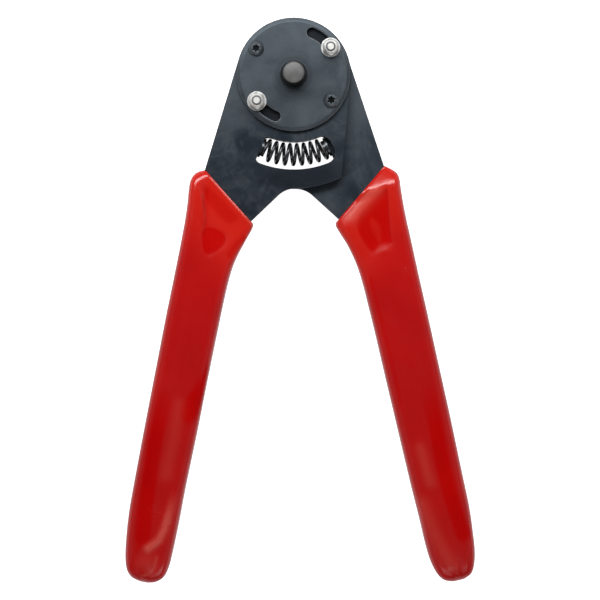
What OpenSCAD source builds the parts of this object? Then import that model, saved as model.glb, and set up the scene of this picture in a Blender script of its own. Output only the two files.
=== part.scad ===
// Four-indent terminal crimping tool, drawn open and lying on its back.
// The origin is on the crimp axis, at the outer face of the back disc, where the terminal enters.
// +Y runs from the handles to the head, +Z from the entry side to the locator side.
// Each lever and its parts are drawn closed, with the handle along -Y, and are then turned open.

/* [Levers] */
// Radius of the lever heads about the crimp axis
head_r = 20.9; // [20.6:0.1:21.5]
// Thickness of each lever plate
lever_t = 4; // [3.5:0.25:5]
// Lean of the head's straight flanks, seen with the handles closed
flank_angle = 5.7; // [5:0.1:6.4]
// Radius of the round lower edge of each head
lobe_r = 41.4; // [40.5:0.1:42.5]
// Rounding of the corner between flank and lower edge
corner_r = 1.5; // [0.8:0.1:2.5]
// Distance of the slanting crotch edge from the crimp axis
crotch_reach = 27.8; // [27:0.1:28.4]
// Slant of the crotch edge to the handle
crotch_angle = 35; // [33:0.5:37]
// Radius that blends the crotch edge into the round lower edge
crotch_blend_r = 9; // [6:0.5:12]
// Radius that blends the crotch edge into the tang
tang_blend_r = 30; // [20:1:34]
// Distance of the tang's outer edge from the centre line, handles closed
tang_out = 25.9; // [25:0.1:26.2]
// Width of the tang inside the grip
tang_w = 14.7; // [13:0.1:15]
// Distance from the crimp axis to the end of the tang
tang_end = 188.5; // [180:0.5:189.5]
// Rounding of the tang's outer end corner
tang_end_out_r = 10; // [8:0.5:10]
// Rounding of the tang's inner end corner
tang_end_in_r = 4.5; // [3:0.5:4.5]
// Angle of each handle from the centre line at rest
open_half_angle = 12; // [10:0.5:13]

/* [Discs] */
// Radius of the front and back discs
disc_r = 20.6; // [20:0.1:20.8]
// Thickness of the front and back discs
disc_t = 2; // [1.5:0.25:3]
// Width of the shallow bevel turned round the outer face of each disc
disc_bevel_w = 1.3; // [0.6:0.1:1.6]
// Depth of that bevel at the rim
disc_bevel_t = 0.5; // [0.2:0.05:0.8]
// Gap between plates and discs that slide over each other
slide_gap = 0.05; // [0.03:0.01:0.1]

/* [Screws] */
// Radius of the circle that the four screws lie on
bolt_circle_r = 16.6; // [16.4:0.1:16.8]
// Angle of the locking screws above the cross line, seen at rest
screw_angle = 35.3; // [34:0.1:37]
// Diameter of the screw thread
screw_d = 3; // [2.5:0.1:3.2]
// Play all round a screw in its round hole
hole_play = 0.1; // [0.05:0.01:0.15]
// Width of the arc slots that let the screws swing
slot_w = 3.8; // [3.7:0.05:4]
// Spare swing at the far end of each arc slot, in degrees
slot_spare = 6.4; // [5:0.2:7]
// Diameter of the button heads
button_d = 5.7; // [5.4:0.1:6]
// Height of the button heads
button_h = 1.65; // [1.4:0.05:2]
// Height of a button head's straight rim
button_rim = 0.3; // [0.2:0.05:0.5]
// Diameter of a button head's flat top
button_flat_d = 3.2; // [2.8:0.1:3.6]
// Width over the points of the six-lobe socket
socket_d = 2.8; // [2.4:0.1:3]
// Depth of the six-lobe socket
socket_depth = 1; // [0.6:0.1:1.2]
// Diameter of the washers
washer_d = 7; // [6.6:0.1:7.2]
// Thickness of the washers
washer_t = 0.5; // [0.4:0.05:0.8]
// Width across flats of the lock nuts
nut_af = 5.5; // [5.3:0.1:6]
// Height of the hexagon of a lock nut
nut_hex_h = 2.6; // [2:0.1:3]
// Height of a lock nut with its insert collar
nut_h = 4; // [3.8:0.1:4.5]
// Diameter of a lock nut's insert collar
nut_collar_d = 5; // [4.6:0.1:5.2]
// Diameter of the round faces of a lock nut's hexagon
nut_face_d = 5.2; // [5:0.05:5.25]
// Height of the bevels of a lock nut
nut_bevel = 0.4; // [0.2:0.05:0.6]
// Length of thread that stands out of a lock nut
thread_out = 0.7; // [0.4:0.1:1.5]

/* [Spring] */
// Room in the arc window between the spring and the window's inner edge
window_in_room = 0.45; // [0.4:0.05:0.8]
// Room in the arc window between the spring and the window's outer edge
window_out_room = 1.5; // [1.3:0.1:2]
// Angle at rest from straight down to the window end that a spring seat bears on
window_bear_angle = 25; // [24:0.1:26]
// Angle at rest from straight down to the free end of each window
window_free_angle = 28.2; // [27.6:0.1:29.4]
// Rounding of the window corners at the spring seat
window_bear_r = 0.9; // [0.6:0.1:1]
// Rounding of the window corners at the free end
window_free_r = 4; // [3:0.1:4.5]
// Radius of the arc that the spring's centre line follows
spring_arc_r = 28.9; // [28.5:0.1:29.4]
// Outer diameter of the spring
spring_od = 8.2; // [7.8:0.05:8.3]
// Diameter of the spring wire
spring_wire = 1.1; // [0.9:0.05:1.2]
// Number of turns of the spring
spring_turns = 8; // [7:0.5:9]
// Turns that lie close together at each end
spring_end_turns = 0.25; // [0.25:0.25:0.75]
// Diameter of the flange of a spring seat
seat_d = 7.2; // [6.8:0.1:7.3]
// Thickness of the flange of a spring seat
seat_t = 0.7; // [0.5:0.05:1]
// Length of the spigot of a spring seat
spigot_len = 1.2; // [0.8:0.1:1.8]
// Gap between spring and seat
spring_gap = 0.1; // [0.05:0.01:0.2]

/* [Crimping mechanism] */
// Radius of the bore that the terminal enters
entry_r = 1.9; // [1.7:0.05:2.1]
// Depth of the countersink at the mouth of the entry bore
entry_lip = 0.8; // [0.6:0.1:1]
// Radius of the guide's nose, which the back disc turns on
nose_r = 5; // [4.4:0.1:5.6]
// Radius of the guide's flange in the right lever
guide_flange_r = 12.2; // [12:0.1:12.6]
// Radius of the guide's neck, which the cam ring turns on
journal_r = 10.5; // [10.3:0.05:10.6]
// Radius of the guide's boss in the front disc
boss_r = 4.6; // [4.2:0.1:4.7]
// Running clearance between turning round faces
run_gap = 0.05; // [0.03:0.01:0.08]
// Clearance of faces that are pressed or keyed together
seat_gap = 0.02; // [0.01:0.01:0.03]
// Width of an indenter
indenter_w = 3; // [2.6:0.1:3.2]
// Clearance of an indenter in its slot, each side
indenter_gap = 0.04; // [0.03:0.01:0.06]
// Distance from the crimp axis to an indenter's tip at rest
tip_open_r = 2; // [1.95:0.05:2.15]
// Width of an indenter's tip
tip_w = 0.6; // [0.4:0.05:0.7]
// Height of an indenter's tip
tip_h = 1.2; // [0.8:0.1:2]
// Slope of an indenter's nose, width against length
nose_slope = 0.9; // [0.8:0.02:0.92]
// Travel of an indenter over the whole closing stroke
indenter_travel = 1.4; // [1.2:0.05:1.45]
// Distance from the crimp axis to an indenter's outer end at rest
indenter_out_r = 12.1; // [12:0.02:12.16]
// Gap between an indenter's round outer end and the cam
cam_gap = 0.03; // [0.02:0.01:0.05]
// Outer radius of the cam ring
cam_ring_r = 13.2; // [13.1:0.05:13.4]
// Radius of the dowels that key the guide and the cam ring
dowel_r = 0.7; // [0.6:0.05:0.8]
// Radius of the return ring that presses the indenters out
return_ring_r = 7.4; // [7.2:0.05:7.6]
// Diameter of the return ring's wire
return_wire = 0.7; // [0.6:0.05:0.75]
// Gap in the return ring, in degrees
return_gap_angle = 30; // [20:1:40]

/* [Locator] */
// Radius of the collar's cap
collar_r = 3.9; // [3.7:0.1:4.2]
// Height of the collar above the front disc
collar_h = 11; // [10:0.2:12.4]
// Rounding of the collar's top edge
collar_round = 0.7; // [0.4:0.1:1.2]
// Height of the crown of the collar's top
collar_crown = 0.35; // [0.2:0.05:0.5]
// Radius of the collar's foot
collar_foot_r = 5; // [4.8:0.1:5.4]
// Height of the collar's foot
collar_foot_h = 1; // [0.8:0.1:1.4]
// Radius of the threaded spigot that carries the collar
thread_r = 3; // [2.8:0.05:3.1]
// Length of the threaded spigot
thread_len = 3; // [2.5:0.1:3.2]
// Thickness of the collar's closed top
collar_top = 1.4; // [1:0.1:1.6]
// Radius of the space in the collar for the terminal's far end
locator_bore_r = 2.1; // [2:0.05:2.3]
// Thickness of the locator stop
stop_t = 1.2; // [0.8:0.1:1.4]
// Radius of the cone in the locator stop
stop_cone_r = 1.2; // [0.8:0.1:1.6]
// Depth of the cone in the locator stop
stop_cone_depth = 0.6; // [0.3:0.05:0.6]
// Gap between the guide's threaded end and the collar's inner shelf
collar_shelf_gap = 0.3; // [0.1:0.05:0.5]

/* [Grips] */
// Distance of the grip's outer edge from the centre line, handles closed
grip_out = 28.4; // [28.2:0.1:29]
// Distance of the grip's inner edge from the centre line, handles closed
grip_in = 8.7; // [8.3:0.1:8.9]
// Distance from the crimp axis to the grip's end
grip_end = 192.5; // [192:0.5:196]
// Thickness of the grip
grip_t = 11; // [10:0.5:13]
// Extra reach of the rounded shoulder below the mouth
shoulder = 1.2; // [0.6:0.1:1.6]
// Length of the shoulder along the grip's outer edge
shoulder_len = 14; // [12:0.5:16]
// Length over which the inner edge eases in from the mouth
ease_len = 18; // [16:0.5:20]
// Length over which the grip's end draws in
taper_len = 37; // [34:0.5:40]
// Distance down to the outer corner of the grip's mouth
mouth_out_y = 39.8; // [38:0.2:41]
// Distance down to the inner corner of the grip's mouth
mouth_in_y = 57; // [56:0.2:58]
// Thickness of the vinyl over the lever's faces at the mouth
lip_t = 1.5; // [1.1:0.1:2]
// Width of the vinyl past the lever's outer edge at the mouth
lip_out_w = 0.5; // [0.4:0.1:1]
// Width of the vinyl past the lever's inner edge at the mouth
lip_in_w = 1.6; // [1:0.1:2]
// Rounding of the grip's long edges
grip_round = 4.2; // [3:0.1:4.8]
// Clearance between grip and tang
grip_fit = 0.03; // [0.02:0.01:0.05]

/* [Hidden] */

// Fineness of round faces, in facets and in degrees for large and small arcs
$fn = 96;
small_fn = 48;
arc_step = 3;
small_arc_step = 10;
small_r = 6;
// How far a cutter reaches past the faces that it cuts
over = 1;
travel = 2 * open_half_angle;

// Heights of the stack, from the entry side up
right_z = disc_t + slide_gap;
left_z = right_z + lever_t + slide_gap;
front_z = left_z + lever_t + slide_gap;
front_face_z = front_z + disc_t;
mid_z = front_face_z / 2;
left_mid_z = left_z + lever_t / 2;

// Directions that several pieces share
screw_closed_angle = screw_angle + open_half_angle;
bear_angle = open_half_angle - window_bear_angle;
free_angle = open_half_angle + window_free_angle;
slot_swing = travel + slot_spare;

// Arc window round the spring
window_in_r = spring_arc_r - spring_od / 2 - window_in_room;
window_out_r = spring_arc_r + spring_od / 2 + window_out_room;

// Indenters and cam
slot_top_z = left_z + lever_t;
indenter_h = lever_t - 2 * slide_gap;
indenter_z = left_z + slide_gap;
head_round = indenter_w / 2;
head_open_r = indenter_out_r - head_round;
indenter_angles = [0, 90, 180, 270];
cam_angle = 33;
return_z = slot_top_z - return_wire / 2 - slide_gap;
// Play round the return ring in its groove and notches
notch_play = 0.1;
// Spare turn at both ends of each cam spiral, in degrees
cam_spare = 1.5;

// Colours
steel_dark = [0.25, 0.28, 0.31];
disc_grey = [0.32, 0.36, 0.39];
tool_steel = [0.55, 0.56, 0.58];
zinc = [0.85, 0.85, 0.82];
black_oxide = [0.12, 0.13, 0.14];
red_vinyl = [0.75, 0.08, 0.07];

function polar(r, a) = [r * cos(a), r * sin(a)];

function arc(c, r, a0, a1) =
    let (n = max(2, ceil(abs(a1 - a0) / (r < small_r ? small_arc_step : arc_step))))
    [for (i = [0:n]) c + polar(r, a0 + (a1 - a0) * i / n)];

// Ring sector between radii r0 and r1 and angles a0 and a1, with corners c0 at a0 and c1 at a1
function rounded_sector(r0, r1, a0, a1, c0, c1) =
    let (
        out0 = asin(c0 / (r1 - c0)),
        out1 = asin(c1 / (r1 - c1)),
        in0 = asin(c0 / (r0 + c0)),
        in1 = asin(c1 / (r0 + c1))
    )
    concat(
        arc([0, 0], r1, a0 + out0, a1 - out1),
        arc(polar(r1 - c1, a1 - out1), c1, a1 - out1, a1 + 90),
        arc(polar(r0 + c1, a1 - in1), c1, a1 + 90, a1 - in1 + 180),
        arc([0, 0], r0, a1 - in1, a0 + in0),
        arc(polar(r0 + c0, a0 + in0), c0, a0 + in0 + 180, a0 + 270),
        arc(polar(r1 - c0, a0 + out0), c0, a0 + 270, a0 + out0 + 360)
    );

// Slot that lets a screw at radius bolt_circle_r swing from angle a0 to angle a1
function swing_slot(a0, a1) =
    let (
        hw = slot_w / 2,
        cap = asin(hw / bolt_circle_r),
        // a hair less than half the width, so that no two corner points fall together
        end_r = hw - 0.001
    )
    rounded_sector(bolt_circle_r - hw, bolt_circle_r + hw, a0 - cap, a1 + cap, end_r, end_r);

// Centre of a circle that keeps d from a line with normal n, and r from the crimp axis
function blend_centre(n, d, r) = n * d + [n.y, -n.x] * sqrt(r * r - d * d);

// Outline of the left lever with its handle straight down, grown by g on every side
function lever_outline(g = 0) =
    let (
        hr = head_r + g,
        lr = lobe_r + g,
        cr = corner_r + g,
        out = tang_out + g,
        in = tang_out - tang_w - g,
        end = -tang_end - g,
        // the flank that leans out to the tang's outer edge
        flank_low = hr * sin(flank_angle)
            - (out - hr * cos(flank_angle)) / tan(flank_angle),
        // the corner between the other flank and the round lower edge
        flank_n = [cos(flank_angle), sin(flank_angle)],
        corner_c = blend_centre(flank_n, hr - cr, lr - cr),
        // the crotch edge and its two blends
        crotch_n = [cos(crotch_angle), -sin(crotch_angle)],
        reach = crotch_reach + g,
        br = crotch_blend_r - g,
        blend_c = blend_centre(crotch_n, reach + br, lr + br),
        blend_a = atan2(blend_c.y, blend_c.x),
        tr = tang_blend_r - g,
        tang_c = [tr - in, (crotch_n.x * (tr - in) - reach - tr) / sin(crotch_angle)],
        or = tang_end_out_r + g,
        ir = tang_end_in_r + g
    )
    concat(
        arc([0, 0], hr, flank_angle, 180 - flank_angle),
        [[-out, flank_low]],
        arc([-out + or, end + or], or, 180, 270),
        arc([-in - ir, end + ir], ir, 270, 360),
        arc(tang_c, tr, 180, 180 - crotch_angle),
        arc(blend_c, br, 180 - crotch_angle, blend_a + 180),
        arc([0, 0], lr, blend_a, atan2(corner_c.y, corner_c.x)),
        arc(corner_c, cr, atan2(corner_c.y, corner_c.x), flank_angle)
    );

// Edges of the lever at a distance y below the crimp axis, for the mouth of the grip
function flank_x(y) = -(head_r / cos(flank_angle) + y * tan(flank_angle));
function crotch_x(y) = (crotch_reach - y * sin(crotch_angle)) / cos(crotch_angle);

// Swap of the front half of the tool for its back half, which has the same parts
module as_back() {
    translate([0, 0, 2 * mid_z])
        rotate([0, 180, 0])
            children();
}

// The left lever's parts, turned from closed to the rest pose
module left_open() {
    rotate([0, 0, -open_half_angle])
        children();
}

module right_open() {
    as_back()
        left_open()
            children();
}

// Angles of a lever's own two screws, and of the other lever's screws at rest, handles closed
own_screws = [screw_closed_angle, screw_closed_angle + 180];
other_screws = [for (a = own_screws) 180 - a + travel];

module at_screws(angles) {
    for (a = angles)
        rotate([0, 0, a])
            translate([bolt_circle_r, 0, 0])
                children();
}

// Arc slots for the other lever's screws, cut through a plate of thickness t
module swing_slots(t) {
    for (a = other_screws)
        translate([0, 0, -over])
            linear_extrude(t + 2 * over)
                polygon(swing_slot(a - slot_swing, a));
}

module screw_holes(t) {
    at_screws(own_screws)
        translate([0, 0, -over])
            cylinder(h = t + 2 * over, r = screw_d / 2 + hole_play, $fn = small_fn);
}

// Lever plate in closed position, its back face at z = 0
module lever_plate(bore_r) {
    difference() {
        linear_extrude(lever_t)
            polygon(lever_outline());
        translate([0, 0, -over])
            cylinder(h = lever_t + 2 * over, r = bore_r);
        translate([0, 0, -over])
            linear_extrude(lever_t + 2 * over)
                polygon(rounded_sector(
                    window_in_r, window_out_r, bear_angle - 90, free_angle - 90,
                    window_bear_r, window_free_r
                ));
        screw_holes(lever_t);
        swing_slots(lever_t);
    }
}

// Half-round seats for dowels on the joint line at radius r
module dowel_seats(r, angles, t, grow) {
    for (a = angles)
        rotate([0, 0, a])
            translate([r, 0, -grow])
                cylinder(h = t + 2 * grow, r = dowel_r + seat_gap, $fn = small_fn);
}

guide_dowel_angles = [90, 270];
cam_dowel_angles = [cam_angle + open_half_angle, cam_angle + open_half_angle + 180];

module left_lever() {
    color(steel_dark)
        left_open()
            translate([0, 0, left_z])
                difference() {
                    lever_plate(cam_ring_r + seat_gap);
                    dowel_seats(cam_ring_r, cam_dowel_angles, lever_t, over);
                }
}

module right_lever() {
    color(steel_dark)
        right_open()
            translate([0, 0, left_z])
                difference() {
                    lever_plate(guide_flange_r + seat_gap);
                    dowel_seats(guide_flange_r, guide_dowel_angles, lever_t, over);
                }
}

// Disc in closed position of the lever that it is screwed to, its inner face at z = 0
module disc(bore_r) {
    difference() {
        rotate_extrude()
            polygon([
                [0, 0], [disc_r, 0], [disc_r, disc_t - disc_bevel_t],
                [disc_r - disc_bevel_w, disc_t], [0, disc_t]
            ]);
        translate([0, 0, -over])
            cylinder(h = disc_t + 2 * over, r = bore_r);
        // the disc faces the other lever, so its holes lie mirrored
        mirror([1, 0, 0])
            screw_holes(disc_t);
        mirror([1, 0, 0])
            swing_slots(disc_t);
    }
}

// The front disc turns with the right lever, although it lies on the left one
module front_disc() {
    color(disc_grey)
        rotate([0, 0, open_half_angle])
            translate([0, 0, front_z])
                disc(boss_r + seat_gap);
}

module back_disc() {
    color(disc_grey)
        as_back()
            rotate([0, 0, open_half_angle])
                translate([0, 0, front_z])
                    disc(nose_r + run_gap);
}

// Turned body with four radial slots, held in the right lever by its flange
module indenter_guide() {
    slot_hw = indenter_w / 2 + indenter_gap;
    groove_in = return_ring_r - return_wire / 2 - indenter_travel - notch_play;
    groove_out = return_ring_r + return_wire / 2 + notch_play;
    color(tool_steel)
        difference() {
            rotate_extrude()
                polygon([
                    [entry_r + entry_lip, -entry_lip],
                    [nose_r, -entry_lip],
                    [nose_r, right_z],
                    [guide_flange_r, right_z],
                    [guide_flange_r, right_z + lever_t],
                    [journal_r, right_z + lever_t],
                    [journal_r, slot_top_z],
                    [boss_r, slot_top_z],
                    [boss_r, front_face_z],
                    [thread_r, front_face_z],
                    [thread_r, front_face_z + thread_len],
                    [entry_r, front_face_z + thread_len],
                    [entry_r, 0]
                ]);
            for (a = [0, 90])
                rotate([0, 0, a])
                    translate([-journal_r - over, -slot_hw, left_z])
                        cube([2 * (journal_r + over), 2 * slot_hw, lever_t]);
            // groove that the return ring lies in
            translate([0, 0, return_z - return_wire / 2 - notch_play])
                difference() {
                    cylinder(h = lever_t, r = groove_out);
                    translate([0, 0, -over])
                        cylinder(h = lever_t + 2 * over, r = groove_in);
                }
            right_open()
                translate([0, 0, left_z])
                    dowel_seats(guide_flange_r, guide_dowel_angles, lever_t, over);
        }
}

module dowels(r, angles) {
    for (a = angles)
        rotate([0, 0, a])
            translate([r, 0, 0])
                cylinder(h = lever_t, r = dowel_r, $fn = small_fn);
}

module guide_dowels() {
    color(tool_steel)
        right_open()
            translate([0, 0, left_z])
                dowels(guide_flange_r, guide_dowel_angles);
}

module cam_ring_dowels() {
    color(tool_steel)
        left_open()
            translate([0, 0, left_z])
                dowels(cam_ring_r, cam_dowel_angles);
}

// Radius of an indenter's head centre when the levers have closed by phi degrees
function cam_r(phi) = head_open_r - indenter_travel * phi / travel;

// One cam pocket for an indenter at angle zero: an even spiral, set off by the head's radius
function cam_path(phi) = polar(cam_r(phi), -phi);
function cam_wall(phi) =
    let (
        slope = indenter_travel / travel * 180 / PI,
        lean = atan(slope / cam_r(phi))
    )
    cam_path(phi) + polar(head_round + cam_gap, -phi - lean);

module cam_pocket(h) {
    steps = 18;
    from = -cam_spare;
    to = travel + cam_spare;
    inside_r = journal_r - 2 * over;
    linear_extrude(h)
        polygon(concat(
            [polar(inside_r, -from)],
            [polar(inside_r, -to)],
            [for (i = [steps:-1:0]) cam_wall(from + (to - from) * i / steps)]
        ));
    for (phi = [from, to])
        translate(cam_path(phi))
            cylinder(h = h, r = head_round + cam_gap, $fn = small_fn);
}

module cam_ring() {
    color(tool_steel)
        translate([0, 0, left_z])
            difference() {
                cylinder(h = lever_t, r = cam_ring_r);
                translate([0, 0, -over])
                    cylinder(h = lever_t + 2 * over, r = journal_r + run_gap);
                for (a = indenter_angles)
                    rotate([0, 0, a])
                        translate([0, 0, -over])
                            cam_pocket(lever_t + 2 * over);
                left_open()
                    dowel_seats(cam_ring_r, cam_dowel_angles, lever_t, over);
            }
}

// Indenter at angle zero: a bar with a round outer end and a nose that narrows both ways
module indenter(a) {
    hw = indenter_w / 2;
    taper_x = tip_open_r + (hw - tip_w / 2) / nose_slope;
    taper_z = (indenter_h - tip_h) / 2;
    slope_x = tip_open_r + 2 * taper_z;
    // the ring curves inward across the width of the bar
    notch_in = sqrt(pow(return_ring_r - return_wire / 2, 2) - hw * hw) - notch_play;
    notch_out = return_ring_r + return_wire / 2 + notch_play;
    color(tool_steel)
        rotate([0, 0, a])
            translate([0, 0, indenter_z])
                difference() {
                    union() {
                        linear_extrude(indenter_h)
                            polygon([
                                [tip_open_r, -tip_w / 2], [taper_x, -hw], [head_open_r, -hw],
                                [head_open_r, hw], [taper_x, hw], [tip_open_r, tip_w / 2]
                            ]);
                        translate([head_open_r, 0, 0])
                            cylinder(h = indenter_h, r = head_round);
                    }
                    // slopes above and below the nose
                    for (side = [0, 1])
                        translate([0, 0, side * indenter_h])
                            mirror([0, 0, side])
                                rotate([90, 0, 0])
                                    translate([0, 0, -hw - over])
                                        linear_extrude(indenter_w + 2 * over)
                                            polygon([
                                                [tip_open_r - over, -over],
                                                [slope_x, -over],
                                                [slope_x, 0],
                                                [tip_open_r, taper_z],
                                                [tip_open_r - over, taper_z]
                                            ]);
                    // notch for the return ring
                    translate([notch_in, -hw - over, indenter_h - return_wire - notch_play])
                        cube([notch_out - notch_in, indenter_w + 2 * over, lever_t]);
                }
}

module indenter_return_ring() {
    color(black_oxide)
        translate([0, 0, return_z])
            rotate([0, 0, 45 + return_gap_angle / 2])
                rotate_extrude(angle = 360 - return_gap_angle)
                    translate([return_ring_r, 0])
                        circle(r = return_wire / 2, $fn = small_fn);
}

// Spring along an arc about the crimp axis, its ends drawn close
spring_bear = seat_t + spring_gap + spring_wire / 2;
spring_half_angle = window_bear_angle - spring_bear / spring_arc_r * 180 / PI;
spring_len = 2 * spring_half_angle * PI / 180 * spring_arc_r;
end_pitch = spring_wire * 1.08;
mid_pitch = (spring_len - 2 * spring_end_turns * end_pitch)
    / (spring_turns - 2 * spring_end_turns);

function spring_along(u) =
    min(u, spring_end_turns) * end_pitch
    + max(0, min(u, spring_turns - spring_end_turns) - spring_end_turns) * mid_pitch
    + max(0, u - spring_turns + spring_end_turns) * end_pitch;

// Point of the coil after u turns, at distance q from the centre line
function coil_point(u, q) =
    let (
        a = -90 - spring_half_angle + spring_along(u) / spring_arc_r * 180 / PI,
        r = spring_arc_r + q * cos(360 * u)
    )
    [r * cos(a), r * sin(a), mid_z + q * sin(360 * u)];

module return_spring() {
    sides = 8;
    per_turn = 20;
    rings = round(spring_turns * per_turn);
    coil_r = (spring_od - spring_wire) / 2;
    wire_r = spring_wire / 2;
    points = [
        for (i = [0:rings], j = [0:sides - 1])
            let (
                u = i / per_turn,
                p = coil_point(u, coil_r),
                outward = coil_point(u, coil_r + 1) - p,
                ahead = coil_point(u + 0.01, coil_r) - coil_point(u - 0.01, coil_r),
                side = cross(ahead, outward) / norm(cross(ahead, outward)),
                a = 360 * j / sides
            )
            p + wire_r * (cos(a) * outward + sin(a) * side)
    ];
    faces = concat(
        [[for (j = [0:sides - 1]) j]],
        [[for (j = [sides - 1:-1:0]) rings * sides + j]],
        [
            for (i = [0:rings - 1], j = [0:sides - 1], k = [0, 1])
                let (
                    a = i * sides + j,
                    b = i * sides + (j + 1) % sides
                )
                k == 0 ? [a, a + sides, b] : [b, a + sides, b + sides]
        ]
    );
    color(black_oxide)
        polyhedron(points, faces, convexity = 10);
}

// The straight spigot stays clear of the coil, which follows the arc
spigot_r = spring_od / 2 - spring_wire - spring_gap
    - pow(spigot_len, 2) / (2 * spring_arc_r);

// Flanged seat on the bearing end of the left lever's window
module spring_seat() {
    color(steel_dark)
        rotate([0, 0, bear_angle - 90])
            translate([spring_arc_r, 0, mid_z])
                rotate([-90, 0, 0]) {
                    cylinder(h = seat_t, d = seat_d);
                    cylinder(h = seat_t + spigot_len, r = spigot_r);
                }
}

module left_spring_seat() {
    left_open()
        spring_seat();
}

module right_spring_seat() {
    right_open()
        spring_seat();
}

// Points of a dome about the z axis, from radius r0 at height z0 to radius r1 at height z1
function dome(r0, z0, r1, z1) =
    let (c = (r0 * r0 - r1 * r1 + z0 * z0 - z1 * z1) / (2 * (z0 - z1)))
    arc([0, c], norm([r0, z0 - c]), atan2(z0 - c, r0), atan2(z1 - c, r1));

// Six round lobes about a round core
module six_lobe(d, h) {
    point_r = 0.15 * d;
    core_r = d / 2 - point_r;
    cylinder(h = h, r = core_r, $fn = small_fn);
    for (a = [0:60:300])
        rotate([0, 0, a])
            translate([core_r, 0, 0])
                cylinder(h = h, r = point_r, $fn = small_fn);
}

// Screw with a button head under the back disc, its thread through the whole stack
module cover_screw() {
    top = front_face_z + slide_gap + washer_t + nut_h + thread_out;
    head = concat(
        [[0, 0], [button_d / 2, 0]],
        dome(button_d / 2, -button_rim, button_flat_d / 2, -button_h),
        [[0, -button_h]]
    );
    color(black_oxide)
        difference() {
            union() {
                cylinder(h = top, d = screw_d, $fn = small_fn);
                rotate_extrude($fn = small_fn)
                    polygon(head);
            }
            translate([0, 0, -button_h - over])
                six_lobe(socket_d, socket_depth + over);
        }
}

module washer() {
    color(zinc)
        difference() {
            cylinder(h = washer_t, d = washer_d, $fn = 64);
            translate([0, 0, -over])
                cylinder(h = washer_t + 2 * over, r = screw_d / 2 + hole_play, $fn = small_fn);
        }
}

// Lock nut: a bevelled hexagon with the round collar of its insert on top
module lock_nut() {
    corner_r = nut_af / 2 / cos(30);
    face_r = nut_face_d / 2;
    collar = nut_collar_d / 2;
    color(zinc)
        difference() {
            union() {
                intersection() {
                    cylinder(h = nut_hex_h, r = corner_r, $fn = 6);
                    rotate_extrude($fn = small_fn)
                        polygon([
                            [0, 0], [face_r, 0], [corner_r, nut_bevel],
                            [corner_r, nut_hex_h - nut_bevel], [face_r, nut_hex_h], [0, nut_hex_h]
                        ]);
                }
                rotate_extrude($fn = small_fn)
                    polygon([
                        [0, 0], [collar, 0], [collar, nut_h - nut_bevel],
                        [collar - nut_bevel, nut_h], [0, nut_h]
                    ]);
            }
            translate([0, 0, -over])
                cylinder(h = nut_h + 2 * over, r = screw_d / 2 + seat_gap, $fn = small_fn);
        }
}

washer_z = front_face_z + slide_gap;
nut_z = washer_z + washer_t;

module left_lever_screws() {
    left_open()
        at_screws(own_screws)
            cover_screw();
}

module right_lever_screws() {
    right_open()
        at_screws(own_screws)
            cover_screw();
}

module left_lever_washers() {
    left_open()
        at_screws(own_screws)
            translate([0, 0, washer_z])
                washer();
}

module right_lever_washers() {
    right_open()
        at_screws(own_screws)
            translate([0, 0, washer_z])
                washer();
}

module left_lever_nuts() {
    left_open()
        at_screws(own_screws)
            translate([0, 0, nut_z])
                lock_nut();
}

module right_lever_nuts() {
    right_open()
        at_screws(own_screws)
            translate([0, 0, nut_z])
                lock_nut();
}

// Closed cap screwed on the guide, hollow for the far end of the terminal
module locator_collar() {
    top_z = front_face_z + collar_h;
    rim_z = top_z - collar_crown;
    flat_r = collar_r - collar_round;
    round_c = [flat_r, rim_z - collar_round];
    shelf_z = front_face_z + thread_len + collar_shelf_gap;
    color(disc_grey)
        rotate_extrude()
            polygon(concat(
                [
                    [thread_r + seat_gap, front_face_z],
                    [collar_foot_r, front_face_z],
                    [collar_foot_r, front_face_z + collar_foot_h],
                    [collar_r, front_face_z + collar_foot_h]
                ],
                arc(round_c, collar_round, 0, 80),
                dome(flat_r, rim_z, 0, top_z),
                [
                    [0, top_z - collar_top],
                    [locator_bore_r, top_z - collar_top],
                    [locator_bore_r, shelf_z],
                    [thread_r + seat_gap, shelf_z]
                ]
            ));
}

// Stop in the collar's closed end, with a cone that centres the terminal
module locator_stop() {
    top_z = front_face_z + collar_h - collar_top;
    stop_r = locator_bore_r - seat_gap;
    color(tool_steel)
        rotate_extrude()
            polygon([
                [0, top_z - stop_t + stop_cone_depth], [stop_cone_r, top_z - stop_t],
                [stop_r, top_z - stop_t], [stop_r, top_z], [0, top_z]
            ]);
}

// Stations along the grip: outer edge point, inner edge point and half thickness
half_t = grip_t / 2;
mouth_half_t = lever_t / 2 + lip_t;
mouth_out_x = flank_x(mouth_out_y) - lip_out_w;
mouth_in_x = crotch_x(mouth_in_y) + lip_in_w;

// Distance down the outer edge, the inner edge or up from the end, in parts of a named length
function down_out(k) = -mouth_out_y - k * shoulder_len;
function down_in(k) = -mouth_in_y - k * ease_len;
function up_end(k) = -grip_end + k * taper_len;

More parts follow.
